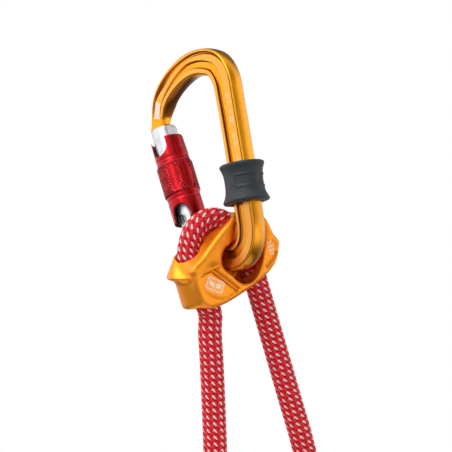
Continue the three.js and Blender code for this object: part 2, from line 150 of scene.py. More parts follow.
def fold_side(side):
    rows = (
        (BESIDE, TIE_Z + TIE_HALF + 2), (BESIDE, TIE_Z), (BESIDE, TIE_Z - TIE_HALF - 2), (19.5, -273), (27, -304),
        (31.5, -333), (FOLD_HALF, -353),
    )
    return [(LOAD_X, side * y, z) for y, z in rows]


def low_arc(radius, z, shares):
    """Places on the lower half of a circle, as shares of the way from its +Y end to its -Y end."""
    turns = [share * math.pi for share in shares]
    return [(LOAD_X, radius * math.cos(a), z - radius * math.sin(a)) for a in turns]


TAIL_STRAND = [
    *in_adjuster((0, CHANNEL, PATH_END - JOIN), *[(0, CHANNEL, -w) for w in (20, 30, 48, 66, 84, 100)]),
    (19, 47.5, -190), (15.5, 45, -205), (10, 34, -220), (6.2, 19.4, -229.5),
    *fold_side(1), *low_arc(FOLD_HALF, FOLD_LOW, (0.1, 0.25, 0.4, 0.5, 0.6, 0.75, 0.9)), *fold_side(-1)[::-1],
    (LOAD_X, -APART, STOPPER_FROM - 3), (LOAD_X, -APART, STOPPER_FROM - JOIN),
]
EYE_TOP = EYE_COVER[0] - JOIN
EYE_SIDE = (
    (EYE_LEG, EYE_TOP), (EYE_LEG, EYE_TOP - 2), (EYE_LEG + 1.4, EYE_TOP - 9), (EYE_R - 2, EYE_CENTRE + 12),
)
EYE = (
    [(LOAD_X, y, z) for y, z in EYE_SIDE]
    + low_arc(EYE_R, EYE_CENTRE, (0, 0.2, 0.35, 0.5, 0.65, 0.8, 1))
    + [(LOAD_X, -y, z) for y, z in EYE_SIDE[::-1]]
)

# ---- camera
scene = bpy.context.scene


def linked(name, data):
    made = bpy.data.objects.new(name, data)
    scene.collection.objects.link(made)
    return made


def aimed(name, data, at, aim):
    """A camera or a light at a place, turned towards another."""
    made = linked(name, data)
    made.location = at
    made.rotation_mode = "QUATERNION"
    made.rotation_quaternion = (Vector(aim) - Vector(at)).to_track_quat("-Z", "Y")
    return made


CAMERA_TARGET = Vector((5.6, 5.6, -72.3)) * MM
CAMERA_AWAY = 1.18
CAMERA_FIELD = 0.2142  # what the frame spans at the target, in metres
CAMERA_BACK = Vector((1, -1, 0)).normalized()
view = bpy.data.cameras.new("camera")
view.sensor_width = 36
view.lens = 36 * CAMERA_AWAY / CAMERA_FIELD
view.clip_start, view.clip_end = 0.05, 50
scene.camera = aimed("camera", view, CAMERA_TARGET + CAMERA_BACK * CAMERA_AWAY, CAMERA_TARGET)


# ---- node trees
class Tree:
    """A short way to write a material's or a world's nodes. A socket given as a value is linked to."""

    def __init__(self, owner):
        owner.use_nodes = True
        self.owner, self.nodes, self.links = owner, owner.node_tree.nodes, owner.node_tree.links
        self.nodes.clear()

    def add(self, kind, settings=(), **inputs):
        made = self.nodes.new(kind)
        for key, value in dict(settings).items():
            setattr(made, key, value)
        self.set(made, **inputs)
        return made

    def set(self, made, **inputs):
        for key, value in inputs.items():
            socket = made.inputs[int(key[1:]) if key[0] == "_" else key.replace("_", " ")]
            if isinstance(value, bpy.types.NodeSocket):
                self.links.new(value, socket)
            else:
                socket.default_value = value

    def math(self, kind, *values, clamp=False):
        made = self.add("ShaderNodeMath", {"operation": kind, "use_clamp": clamp})
        self.set(made, **{f"_{i}": v for i, v in enumerate(values)})
        return made.outputs[0]

    def times(self, a, b):
        return self.math("MULTIPLY", a, b)

    def plus(self, a, b):
        return self.math("ADD", a, b)

    def less(self, a, b):
        return self.math("SUBTRACT", a, b)

    def shade(self, **inputs):
        self.set(self.surface, **inputs)

    def noise(self, scale, detail, vector=None):
        place = vector or self.place
        made = self.add("ShaderNodeTexNoise", Vector=place, Scale=scale, Detail=detail, Roughness=0.55)
        return made.outputs["Fac"]

    def stretched(self, x, y, z):
        return self.add("ShaderNodeMapping", Vector=self.place, Scale=(x, y, z)).outputs[0]

    def spread(self, value, low, high, to_low=0.0, to_high=1.0, shape="LINEAR"):
        made = self.add("ShaderNodeMapRange", {"interpolation_type": shape}, Value=value)
        self.set(made, _1=low, _2=high, _3=to_low, _4=to_high)
        return made.outputs[0]

    def mix(self, share, first, second):
        return self.add("ShaderNodeMix", {"data_type": "RGBA"}, _0=share, _6=first, _7=second).outputs[2]

    def bump(self, height, strength, distance, under=None):
        made = self.add("ShaderNodeBump", Height=height, Strength=strength, Distance=distance)
        if under is not None:
            self.set(made, Normal=under)
        return made.outputs[0]

    def parts(self, vector):
        return self.add("ShaderNodeSeparateXYZ", Vector=vector).outputs

    def attribute(self, name):
        return self.add("ShaderNodeAttribute", {"attribute_name": name}).outputs["Fac"]


def surface_tree(name):
    """The nodes of a new material: its shader is surface, and place is where a point lies in the row frame."""
    t = Tree(bpy.data.materials.new(name))
    t.surface = t.add("ShaderNodeBsdfPrincipled")
    t.add("ShaderNodeOutputMaterial", Surface=t.surface.outputs[0])
    t.place = t.add("ShaderNodeTexCoord").outputs["Object"]
    return t


def rgb(r, g, b):
    """A colour as 0 to 255 on screen, as the shader's linear numbers."""
    return tuple(((c / 255 + 0.055) / 1.055) ** 2.4 if c > 10 else c / 255 / 12.92 for c in (r, g, b)) + (1.0,)


def anodised(name, colour, deep, painted_shade, roughness, bare=(205, 200, 190), coat=0.3, grain=0.1):
    """Anodised aluminium: the dye with a blasted grain, painted shade in creases and hollows, rubbed edges and
    etched marks, which on the bar also hold painted highlight.
    """
    t = surface_tree(name)
    mottle = t.spread(t.noise(150, 5), 0.35, 0.7)
    dye_and_painted_shade = t.mix(mottle, rgb(*colour), rgb(*deep))
    # Painted shade: where the edge attribute is negative, in creases and hollows, the colour is mixed towards the
    # dark shade colour.
    dye_and_painted_shade = t.mix(t.spread(t.attribute("edge"), -0.25, -1.1, 0, 0.85), dye_and_painted_shade, rgb(*painted_shade))
    scuff = t.spread(t.noise(900, 3, t.stretched(1, 1, 0.12)), 0.62, 0.72)
    rubbed = t.times(t.spread(t.attribute("edge"), 0.7, 1.5), t.spread(t.noise(700, 4), 0.5, 0.72))
    wear_and_painted_shade = t.math("MAXIMUM", t.times(rubbed, 0.25), t.times(scuff, 0.04))
    wear_and_painted_shade = t.mix(wear_and_painted_shade, dye_and_painted_shade, rgb(*bare))
    # The mark attribute holds etched marks; on the bar it also holds painted highlight on the ridge, the rims and
    # one side of the outer face, made pale and less metallic with them.
    etched = t.times(t.attribute("mark"), t.spread(t.noise(1500, 2), 0.3, 0.5, 0.55, 0.95))
    t.shade(Base_Color=t.mix(etched, wear_and_painted_shade, rgb(255, 236, 214)))
    t.shade(Metallic=t.less(1, t.times(etched, 0.8)))
    rough = t.spread(t.noise(420, 4), 0.3, 0.7, roughness - 0.04, roughness + 0.05)
    rough = t.plus(rough, t.times(etched, 0.3))
    t.shade(Roughness=t.plus(rough, t.times(scuff, 0.06)))
    fine = t.bump(t.noise(3600, 3), grain, 0.00002)
    t.shade(Normal=t.bump(t.noise(240, 3), 0.12, 0.00006, fine))
    t.shade(Coat_Weight=coat, Coat_Roughness=0.2)
    return t.owner


def turned_metal(name, colour, roughness):
    """Bright turned metal, with fine rings round its own axis as drawn in the row frame."""
    t = surface_tree(name)
    rings = t.noise(9000, 2, t.stretched(0.05, 0.05, 1))
    tone = t.mix(t.spread(t.noise(300, 3), 0.3, 0.7), rgb(*colour), rgb(*[c * 0.9 for c in colour]))
    t.shade(Base_Color=tone, Metallic=1.0)
    t.shade(Roughness=t.spread(rings, 0.3, 0.7, roughness - 0.06, roughness + 0.08))
    t.shade(Normal=t.bump(rings, 0.18, 0.00002))
    return t.owner


def moulded(name, colour, roughness, grain, sheen=0.0, scale=2600):
    """Moulded rubber or plastic with a fine spark-eroded grain and a little handling shine."""
    t = surface_tree(name)
    tone = t.spread(t.noise(130, 5), 0.3, 0.7)
    t.shade(Base_Color=t.mix(tone, rgb(*colour), rgb(*[min(255, c * 1.16) for c in colour])))
    t.shade(Roughness=t.spread(t.noise(210, 4), 0.3, 0.75, roughness - 0.09, roughness + 0.06))
    t.shade(Normal=t.bump(t.noise(scale, 3), grain, 0.00005, t.bump(t.noise(260, 2), 0.15, 0.0001)))
    t.shade(Sheen_Weight=sheen, Sheen_Roughness=0.5)
    return t.owner


def webbing(name, colour, pale):
    """Woven tape: a tight twill in the row frame."""
    t = surface_tree(name)
    split = t.parts(t.place)
    warp = t.math("SINE", t.times(t.plus(split[1], split[0]), math.tau / 0.0011))
    fill = t.math("SINE", t.times(t.plus(split[2], split[1]), math.tau / 0.0014))
    weave = t.times(warp, fill)
    fuzz = t.noise(5200, 3)
    tone = t.plus(t.spread(weave, -1, 1, 0, 0.7), t.times(fuzz, 0.3))
    t.shade(Base_Color=t.mix(tone, rgb(*colour), rgb(*pale)), Roughness=t.spread(fuzz, 0, 1, 0.75, 0.95))
    t.shade(Normal=t.bump(weave, 0.6, 0.0002, t.bump(fuzz, 0.3, 0.0001)))
    t.shade(Sheen_Weight=0.25)
    return t.owner


# ---- the braid
STRANDS = 10  # strands wound each way
PITCH = 3.2  # length of rope between crossings, in millimetres
STRAND_RISE = 0.22
STRAND_ROUND = 0.46
SHEATH_R = 5.72  # to the tops of the strands
WHITE_FROM, WHITE_SWING = 0.09, 0.06  # the white yarn's inner edge, as shares of a strand's width from its middle
THIN_AT = 0.4  # the same for the thin white line on the strands that wind the first way
FIBRES = 7  # bundles of fibre across a strand
# The dark red and the grey white are painted shade, for the low places between the strands.
RED, SHADED_RED = (252, 38, 54), (112, 2, 14)
WHITE, SHADED_WHITE = (255, 236, 228), (214, 146, 142)


def braid_height(u, v):
    """Height of the sheath, in millimetres, at u strands round the rope and v crossings along it."""
    a, b = u + v, u - v
    i, j = np.round(a), np.round(b)
    lie_a, lie_b = -np.cos(np.pi * (b + i)), np.cos(np.pi * (a + j))

    def strand(off):
        yarn = np.sqrt(np.clip(1 - (4 * (np.abs(off) - 0.25)) ** 2, 0, 1))
        whole = np.sqrt(np.clip(1 - (2 * off) ** 2, 0, 1))
        return STRAND_ROUND * (0.6 * whole + 0.4 * yarn)

    return np.maximum(STRAND_RISE * lie_a + strand(a - i), STRAND_RISE * lie_b + strand(b - j))


def rope_material():
    """Red yarns, with one white yarn beside a red one in each strand that winds the other way."""
    t = surface_tree("rope_sheath")
    split = t.parts(t.add("ShaderNodeUVMap", {"uv_map": "braid"}).outputs[0])
    a, b = t.plus(split[0], split[1]), t.less(split[0], split[1])
    i, j = t.math("ROUND", a), t.math("ROUND", b)

    def strand(place, lane, sign, across):
        off = t.less(place, lane)
        lie = t.math("COSINE", t.times(t.plus(across, lane), math.pi))
        whole = t.math("SQRT", t.math("SUBTRACT", 1, t.math("POWER", t.times(off, 2), 2), clamp=True))
        lie = t.times(lie, sign * STRAND_RISE)
        return off, t.plus(lie, t.times(whole, STRAND_ROUND))

    off_a, top_a = strand(a, i, -1, b)
    off_b, top_b = strand(b, j, 1, a)
    b_over = t.math("GREATER_THAN", top_b, top_a)
    # A strand's white yarn is widest where the strand comes up. A thin one shows beside the crossing strand.
    rise = t.math("SINE", t.times(t.plus(b, i), math.pi))
    edge_a = t.plus(WHITE_FROM, t.times(rise, WHITE_SWING))
    yarn = t.times(t.spread(t.less(off_a, edge_a), -0.03, 0.03), t.spread(off_a, 0.46, 0.4))
    thick = t.times(t.less(1, b_over), yarn)
    thin = t.spread(t.math("ABSOLUTE", t.less(off_b, THIN_AT)), 0.07, 0.02)
    thin = t.times(b_over, thin)
    foot = t.math("SINE", t.times(t.plus(a, j), math.pi))
    thin = t.times(thin, t.spread(foot, -0.45, -0.8, 0, 0.7))
    white = t.math("MAXIMUM", thick, thin)
    off = t.add("ShaderNodeMix", {"data_type": "FLOAT"}, _0=b_over, _2=off_a, _3=off_b).outputs[0]
    fibres = t.math("SINE", t.times(off, math.tau * FIBRES))
    stray = t.noise(2400, 4)
    # Painted shade: the colour darkens towards the low places between the strands, with some random tone from the
    # stray noise.
    high = t.spread(t.math("MAXIMUM", top_a, top_b), 0.36, 0.64)
    shade = t.plus(t.times(high, 0.75), t.times(stray, 0.25))
    red = t.mix(shade, rgb(*SHADED_RED), rgb(*RED))
    pale = t.mix(shade, rgb(*SHADED_WHITE), rgb(*WHITE))
    t.shade(Base_Color=t.mix(white, red, pale), Roughness=t.spread(stray, 0.2, 0.8, 0.5, 0.72))
    t.shade(Normal=t.bump(fibres, 0.35, 0.00005, t.bump(stray, 0.35, 0.00006)))
    t.shade(Specular_IOR_Level=0.15, Sheen_Weight=0.02, Sheen_Roughness=0.4)
    return t.owner


# ---- meshes
def piece(name, vertices, faces, material, body, slot, replaced=(), **values):
    """A mesh in millimetres of the row frame as a piece of the object that rides on a body."""
    mesh = bpy.data.meshes.new(name)
    mesh.from_pydata(np.asarray(vertices, float) * MM, [], faces)
    mesh.shade_smooth()
    for key, value in values.items():
        mesh.attributes.new(key, "FLOAT", "POINT").data.foreach_set("value", np.asarray(value, np.float32))
    mesh.materials.append(material)
    mesh.update()
    made = linked(name, mesh)
    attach(made, body)
    if replaced:
        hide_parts(*replaced)
    return made


def tube_rings(line, radius, around):
    """A ring of points about each point of a line, without twist. Each ring or each point has its own radius."""
    tangent = np.gradient(line, axis=0)
    tangent /= np.linalg.norm(tangent, axis=1, keepdims=True)
    side = np.cross(tangent[0], (0, 0, 1.0) if abs(tangent[0][2]) < 0.9 else (1.0, 0, 0))
    sides = []
    for t in tangent:
        side = side - t * (side @ t)
        side = side / np.linalg.norm(side)
        sides.append(side)
    side = np.array(sides)
    up = np.cross(tangent, side)
    angle = math.tau * (np.arange(around) / around)[None, :, None]
    return line[:, None] + radius[..., None] * (np.cos(angle) * side[:, None] + np.sin(angle) * up[:, None])


def tube_quads(rings, around):
    """Quads between rings of points, with the ring and the place in it that each starts from."""
    r, c = np.meshgrid(np.arange(rings - 1), np.arange(around), indexing="ij")
    n = (c + 1) % around
    quads = np.stack([r * around + c, r * around + n, (r + 1) * around + n, (r + 1) * around + c], -1)
    return quads.reshape(-1, 4), r, c


def tube_fans(rings, around):
    """Triangles that close a tube's ends round two more points that follow its rings."""
    k = np.arange(around)
    middle, last = rings * around, (rings - 1) * around
    first_fan = np.stack([np.full(around, middle), (k + 1) % around, k], -1)
    return np.vstack([first_fan, np.stack([np.full(around, middle + 1), last + k, last + (k + 1) % around], -1)])


def rope(name, points, start, around, step, replaced):
    """A braided rope along the points. start is how far along the whole rope its first point lies."""
    line = even(spline(points), step)
    s = along(line) + start
    u, v = np.meshgrid(np.arange(around) / around * STRANDS, s / PITCH)
    ring = tube_rings(line, SHEATH_R - STRAND_RISE - STRAND_ROUND + braid_height(u, v), around)
    vertices = np.vstack([ring.reshape(-1, 3), line[0], line[-1]])
    quads, r, c = tube_quads(len(line), around)
    faces = quads.tolist() + tube_fans(len(line), around).tolist()
    made = piece(name, vertices, faces, SHEATH, "adjuster", "rope_weave", replaced)
    corner_u = np.stack([c, c + 1, c + 1, c], -1).ravel() * (STRANDS / around)
    corner_v = s[np.stack([r, r, r + 1, r + 1], -1).ravel()] / PITCH
    ends = np.zeros((2 * around * 3, 2))
    uv = np.vstack([np.stack([corner_u, corner_v], -1), ends])
    made.data.uv_layers.new(name="braid").data.foreach_set("uv", uv.ravel().astype(np.float32))
    return made, line


def surface_net(field, low, high, cell):
    """The surface where a field is 0, as quads, with one vertex in each cell that it crosses."""
    low, high = np.array([low, high], float)
    count = np.ceil((high - low) / cell).astype(int) + 1
    x, y, z = (low[k] + cell * np.arange(count[k]) for k in range(3))
    f = np.broadcast_to(field(x[:, None, None], y[None, :, None], z[None, None, :]), count).astype(np.float32)
    inside = f < 0
    cells = count - 1
    total = np.zeros((*cells, 3), np.float32)
    hits = np.zeros(cells, np.int8)
    crossings = []
    for axis in range(3):
        a, b = np.moveaxis(f, axis, 0)[:-1], np.moveaxis(f, axis, 0)[1:]
        cross = np.moveaxis((a < 0) != (b < 0), 0, axis)
        share = np.moveaxis(np.where(a == b, 0.5, a / np.where(a == b, 1, a - b)), 0, axis)
        crossings.append(cross)
        one, two = [k for k in range(3) if k != axis]
        for d1, d2 in np.ndindex(2, 2):
            cut = [slice(None)] * 3
            cut[one], cut[two] = slice(d1, cells[one] + d1), slice(d2, cells[two] + d2)
            here = cross[tuple(cut)]
            hits += here
            total[..., axis] += here * share[tuple(cut)]
            total[..., one] += here * d1
            total[..., two] += here * d2
    used = hits > 0
    number = np.full(cells, -1, np.int64)
    number[used] = np.arange(used.sum())
    corner = np.argwhere(used)
    vertices = low + cell * (corner + total[used] / hits[used][:, None])
    faces = []
    for axis in range(3):
        one, two = (axis + 1) % 3, (axis + 2) % 3
        where = np.argwhere(crossings[axis])
        p, q = where[:, one], where[:, two]
        where = where[(p > 0) & (q > 0) & (p < cells[one]) & (q < cells[two])]
        ring = []
        for d1, d2 in ((-1, -1), (0, -1), (0, 0), (-1, 0)):
            at = where.copy()
            at[:, one] += d1
            at[:, two] += d2
            ring.append(number[tuple(at.T)])
        ring = np.stack(ring, -1)
        flip = ~inside[tuple(where.T)]
        ring[flip] = ring[flip][:, ::-1]
        faces.append(ring)
    # Pull the vertices onto the surface along its gradient.
    h = cell * 0.2
    for _ in range(2):
        px, py, pz = vertices.T
        at = field(px, py, pz)
        moved = field(px + h, py, pz), field(px, py + h, pz), field(px, py, pz + h)
        slope = np.stack([there - at for there in moved], -1) / h
        step = at[:, None] * slope / np.maximum((slope**2).sum(-1, keepdims=True), 0.2)
        vertices = vertices + np.clip(step, -cell * 0.6, cell * 0.6)
    # How convex the surface is, from the field's own spread: about 1 on a sharp edge.
    inner = tuple(np.clip(corner[:, k], 1, count[k] - 2) for k in range(3))
    spread = -6 * f[inner]
    for axis in range(3):
        for d in (-1, 1):
            near = list(inner)
            near[axis] = near[axis] + d
            spread = spread + f[tuple(near)]
    return vertices, np.vstack(faces), spread / cell


def forged(name, field, low, high, cell, local, material, body, slot, replaced=(), mark=None):
    """A piece whose shape is a distance field in a local frame. mark says how strongly each vertex is etched."""
    vertices, faces, edge = surface_net(field, low, high, cell)
    etched = mark(*vertices.T) if mark else np.zeros(len(vertices))
    return piece(name, placed(vertices, local), faces, material, body, slot, replaced, edge=edge, mark=etched)


# ---- distance fields
def fuse(a, b, k):
    """Two solids as one, with a fillet of about k where they meet."""
    h = np.clip(0.5 + 0.5 * (b - a) / k, 0, 1)
    return b + (a - b) * h - k * h * (1 - h)


def carve(a, b, k):
    """a without b, its new edges rounded."""
    return -fuse(-a, b, k)


def overlap(a, b, k):
    """What is in both a and b, its new edges rounded."""
    return -fuse(-a, -b, k)


def to_segment(place, start, end):
    """The squared distance from a place to a segment, and how far along it, 0 to 1, is nearest."""
    run = [b - a for a, b in zip(start, end)]
    off = [p - a for p, a in zip(place, start)]
    t = np.clip(sum(w * e for w, e in zip(off, run)) / (sum(e * e for e in run) + 1e-12), 0, 1)
    return sum((w - e * t) ** 2 for w, e in zip(off, run)), t


def outline(points):
    """The signed distance to a closed, rounded outline, as a function of two coordinates."""
    p = spline(points, closed=True, per_span=4)

    def distance(a, b):
        nearest, inside = np.inf, False
        for (a0, b0), (a1, b1) in zip(p, np.roll(p, -1, axis=0)):
            nearest = np.minimum(nearest, to_segment((a, b), (a0, b0), (a1, b1))[0])
            spans = (b0 > b) != (b1 > b)
            inside = inside ^ (spans & (a < (a1 - a0) * (b - b0) / (b1 - b0 or 1e-12) + a0))
        return np.where(inside, -1, 1) * np.sqrt(nearest)

    return distance


def extruded(flat, across, middle, half, r):
    """A flat distance given depth: its edges rounded by r."""
    d, e = flat + r, np.abs(across - middle) - half + r
    return np.hypot(np.maximum(d, 0), np.maximum(e, 0)) + np.minimum(np.maximum(d, e), 0) - r


def span(low, high):
    """A range as its middle and half its length."""
    return (low + high) / 2, (high - low) / 2


def box2(p, q, half_p, half_q, r):
    """A rectangle round the origin, its corners rounded by r."""
    return extruded(np.abs(p) - half_p, q, 0, half_q, r)


def near_line(line):
    """Distance to a line in space, as a function of three coordinates."""

    def distance(*place):
        nearest = np.inf
        for start, end in zip(line, line[1:]):
            nearest = np.minimum(nearest, to_segment(place, start, end)[0])
        return np.sqrt(nearest)

    return distance


def ease(x, low, high):
    t = np.clip((x - low) / (high - low), 0, 1)
    return t * t * (3 - 2 * t)


# ---- materials
SHEATH = rope_material()
ORANGE_BAR = anodised("orange_anodising", (248, 166, 18), (240, 156, 10), (112, 42, 4), 0.25, grain=0.05)
ORANGE_BODY = anodised("orange_forging", (255, 158, 30), (248, 147, 22), (200, 96, 8), 0.42, grain=0.08)
RED_SLEEVE = anodised("red_anodising", (190, 10, 26), (168, 7, 19), (92, 2, 10), 0.27, (225, 170, 176), 0.28)
SILVER = turned_metal("bright_aluminium", (232, 233, 236), 0.44)
STEEL = turned_metal("spring_steel", (150, 152, 156), 0.28)
RUBBER = moulded("keeper_rubber", (28, 34, 39), 0.55, 0.3, sheen=0.04)
LINER = moulded("liner_plastic", (26, 26, 28), 0.5, 0.2)
COVER = moulded("cover_plastic", (24, 25, 28), 0.34, 0.25)
THIMBLE = moulded("thimble_plastic", (38, 40, 44), 0.45, 0.25)
CAP = moulded("melted_sheath", (168, 26, 40), 0.5, 0.8, scale=900)
TAPE = webbing("tape_weave", (20, 21, 24), (52, 54, 60))

# ---- rope pieces
rope("rope_bight_braid", BIGHT, 0, 100, 0.36, ["rope_bight"])
load, load_line = rope("load_strand_braid", LOAD_STRAND, 500 * PITCH, 90, 0.42, ["load_strand"])
tail, tail_line = rope("tail_strand_braid", TAIL_STRAND, 300 * PITCH, 80, 0.52, ["tail_strand"])
eye, _ = rope("load_eye_braid", EYE, 900 * PITCH, 80, 0.5, ["load_eye"])


# ---- carabiner frame
BAR = even(spline(FRAME_LINE, per_span=24), 0.8)
# It runs on a little past the nose, so that it can be cut to the gate's end.
BAR = np.vstack([BAR[0] + (BAR[0] - BAR[1]) * np.array([[4], [3], [2], [1]]), BAR])
BAR_S = along(BAR)
BAR_LONG = BAR_S[-1]
BAR_DEPTH = (  # share of the bar's length and half its depth there
    (0, 4.4), (0.04, 4.5), (0.08, 5.0), (0.14, 5.5), (0.2, 5.8), (0.28, 6.3), (0.36, 6.2), (0.44, 6.0), (0.6, 6.0),
    (0.72, 6.0), (0.8, 6.0), (0.88, 5.6), (0.95, 4.9), (1, 4.8),
)
BAR_THICK = ((0, 2.6), (0.03, 2.7), (0.075, 3.9), (0.12, 4.0), (0.88, 4.0), (1, 4.2))
BAR_SHIFT = ((0, 0.35), (0.04, 0.35), (0.08, 0.1), (0.14, 0), (1, 0))


def bar_place(x, z):
    """Where a point lies by the bar's centreline: its distance, outwards positive, and the share of the length."""
    nearest = np.full(np.broadcast(x, z).shape, np.inf)
    off, share = np.zeros_like(nearest), np.zeros_like(nearest)
    for (x0, z0), (x1, z1), s0, s1 in zip(BAR, BAR[1:], BAR_S, BAR_S[1:]):
        d, t = to_segment((x, z), (x0, z0), (x1, z1))
        side = np.sign((x1 - x0) * (z - z0) - (z1 - z0) * (x - x0))
        closer = d < nearest
        nearest = np.where(closer, d, nearest)
        off = np.where(closer, side * np.sqrt(d), off)
        share = np.where(closer, (s0 + t * (s1 - s0)) / BAR_LONG, share)
    return off, share


def to_gate(x, y, z):
    wx, wz = x - HINGE[0], z - HINGE[2]
    c, s = math.cos(GATE_ANGLE), math.sin(GATE_ANGLE)
    return wx * c - wz * s, y, wx * s + wz * c


BAR_CORNER = 1.2
GROOVES_AT = (0.03, 0.08, 0.12, 0.21, 0.33, 1)  # shares of the bar's length that the rows below are given for
GROOVES = (  # for each groove: from and to, as shares of half the bar's depth, and how deep in millimetres
    ((-0.46, -0.46, -0.45, -0.42, -0.57, -0.57), (-0.38, -0.38, -0.34, 0.05, 0.05, 0.05),
     (0.2, 0.3, 0.6, 1.3, 1.3, 1.3)),
    ((0.5, 0.45, 0.2, 0.38, 0.8, 0.8), (0.66, 0.68, 0.7, 0.62, 0.88, 0.88), (0.9, 1.2, 1.5, 1.1, 0.7, 0.7)),
)


def bar_profile():
    """The bar's section as (side, share, corner angle): each point lies on a face or on a rounded corner."""
    flat = np.linspace(-1, 1, 61)
    edge = np.linspace(-1, 1, 13)
    corner = np.linspace(0, math.pi / 2, 7)[1:-1]
    rows = []
    for way, half in ((1, 0), (-1, math.pi)):
        rows += [("y", -way, way * t) for t in flat] + [("c", way, -way, a + half - math.pi / 2) for a in corner]
        rows += [("x", way, way * t) for t in edge] + [("c", way, way, a + half) for a in corner]
    return rows


def bar_section(share):
    """The bar's section at each share of its length: each point's off, across, painted shade and painted
    highlight.
    """
    depth, thick, shift = (np.interp(share, *zip(*table)) for table in (BAR_DEPTH, BAR_THICK, BAR_SHIFT))
    cut = ease(share, 0.03, 0.06) * (1 - ease(share, 0.9, 0.945))
    on_arch = 1 - ease(share, 0.17, 0.25)
    # Painted shade on the lower bend, where the keeper and the adjuster shade it.
    low_bend = 0.45 * ease(share, 0.57, 0.67) * (1 - ease(share, 0.85, 0.93))
    rows = []
    for kind, place, *turned in bar_profile():
        painted_shade, painted_highlight = np.zeros_like(share), np.zeros_like(share)
        if kind == "y":
            off, sunk = turned[0] * (depth - BAR_CORNER), 0
            for low, high, sink in GROOVES:
                low, high, sink = (np.interp(share, GROOVES_AT, row) for row in (low, high, sink))
                low, high = low * depth, high * depth
                inside = ease(off, low - 0.3, low + 0.3) * (1 - ease(off, high - 0.3, high + 0.3))
                sunk = sunk + sink * inside
                # Painted shade along the groove walls and, near the nose, over the groove floor; less of it on the
                # arch.
                walls = np.exp(-(((off - low) / 0.42) ** 2)) + np.exp(-(((off - high) / 0.42) ** 2))
                painted_shade = painted_shade + walls * np.clip(sink * 1.3, 0, 1)
                by_nose = inside * (1 - ease(share, 0.08, 0.2)) * (high > 0)
                painted_shade = np.maximum(painted_shade * (1 - 0.45 * on_arch), by_nose)
            # Painted highlight on the faces between the grooves: the ridge and the rims.
            painted_highlight = 0.08 * np.clip(1 - sunk - painted_shade, 0, 1)
            across = place * (thick - sunk * cut)
        elif kind == "x":
            off = place * (depth + 0.3 * (1 - turned[0] ** 2))
            across = turned[0] * (thick - BAR_CORNER)
            # On the arch the inner face gets painted shade, standing in for the dark ground it reflects; the outer
            # face gets painted highlight towards one side.
            painted_shade, painted_highlight = (on_arch * 1.1, painted_highlight) if place < 0 else (painted_shade, painted_highlight + 0.12 * ease(turned[0], 0.1, 0.9))
        else:
            off = place * (depth - BAR_CORNER) + BAR_CORNER * math.cos(turned[1])
            across = turned[0] * (thick - BAR_CORNER) + BAR_CORNER * math.sin(turned[1])
            # Painted shade on the arch's inner corners.
            painted_shade = on_arch * (0.6 if place < 0 else 0)
        rows.append((off + shift, across, np.maximum(painted_shade * cut, low_bend), painted_highlight * cut))
    return [np.stack(column, -1) for column in zip(*rows)]


def bar_points(s):
    """Places on the bar's surface for distances s along it, of shape (stations, points of the section)."""
    share = s.mean(axis=1) / BAR_LONG
    off, across = bar_section(share)[:2]
    slope = np.gradient(BAR, axis=0)
    slope /= np.linalg.norm(slope, axis=1, keepdims=True)
    x, z, dx, dz = (np.interp(s, BAR_S, column) for column in (*BAR.T, *slope.T))
    return np.stack([x - dz * off, across, z + dx * off], -1)


def carabiner_bar():
    """The bar swept from the gate's end at the nose to the room round the hinge, with flat ends."""
    points = len(bar_profile())
    start, end = np.full(points, 3.0), np.full(points, BAR_LONG - 7.0)
    for _ in range(12):
        p = bar_points(start[None])[0]
        start = start - (to_gate(*p.T)[2] - GATE_TOP - 0.4)
        q = bar_points(end[None])[0]
        end = end + (np.hypot(q[:, 0] - HINGE[0], q[:, 2] - HINGE[2]) - 6.4)
    share = np.linspace(0, 1, 330)[:, None]
    even_s = start.mean() + share * (end.mean() - start.mean())
    near_start, near_end = np.clip(1 - share / 0.04, 0, 1), np.clip(1 - (1 - share) / 0.04, 0, 1)
    s = even_s + near_start * (start - start.mean()) + near_end * (end - end.mean())
    ring = bar_points(s)
    vertices = np.vstack([ring.reshape(-1, 3), ring[0].mean(0), ring[-1].mean(0)])
    painted_shade, painted_highlight = (np.append(painted_light.ravel(), (0, 0)) for painted_light in bar_section(s.mean(axis=1) / BAR_LONG)[2:])
    # The section runs the other way round than a tube's rings, so the faces are turned over.
    quads, fans = tube_quads(len(s), points)[0][:, [0, 3, 2, 1]], tube_fans(len(s), points)[:, [0, 2, 1]]
    return vertices, quads.tolist() + fans.tolist(), painted_shade, painted_highlight


def nose_field(x, y, z):
    gx, gy, gz = to_gate(x, y, z)
    return extruded(box2(gx + 0.7, gz - (GATE_TOP - 1), 2.6, 3.4, 0.8), gy, 0, 1.5, 0.4)


def hinge_field(x, y, z):
    """The tongue between the gate's cheeks."""
    off, share = bar_place(x, z)
    gx, gy, gz = to_gate(x, y, z)
    near = np.hypot(gx, gz)
    neck = overlap(np.abs(off) - np.interp(share, *zip(*BAR_DEPTH)) + 0.2, near - 9.0, 0.5)
    return extruded(fuse(near - 4.3, neck, 0.8), gy, 0, 2.0, 0.35)


def carabiner_mark(x, y, z):
    """A pale patch on the nose and a row of small etched signs down the spine, on the front."""
    off, share = bar_place(x, z)
    front = ease(-y, 2.2, 2.6)
    patch = ease(0.5 - box2(off - 0.6, (share - 0.057) * BAR_LONG, 1.95, 4.0, 0.4), 0.2, 0.8)
    down = (share - 0.36) * BAR_LONG
    row = (np.abs(off - 2.2) < 1.3) & (down > 2) & (down < 62)
    signs = np.cos(down * 1.6) + np.cos(down * 0.61 + 1) > 0.35
    strokes = np.cos(off * 4.1 + down) > -0.2
    return front * np.maximum(patch, 0.45 * (row & signs & strokes))


bar_vertices, bar_faces, bar_painted_shade, bar_painted_highlight = carabiner_bar()
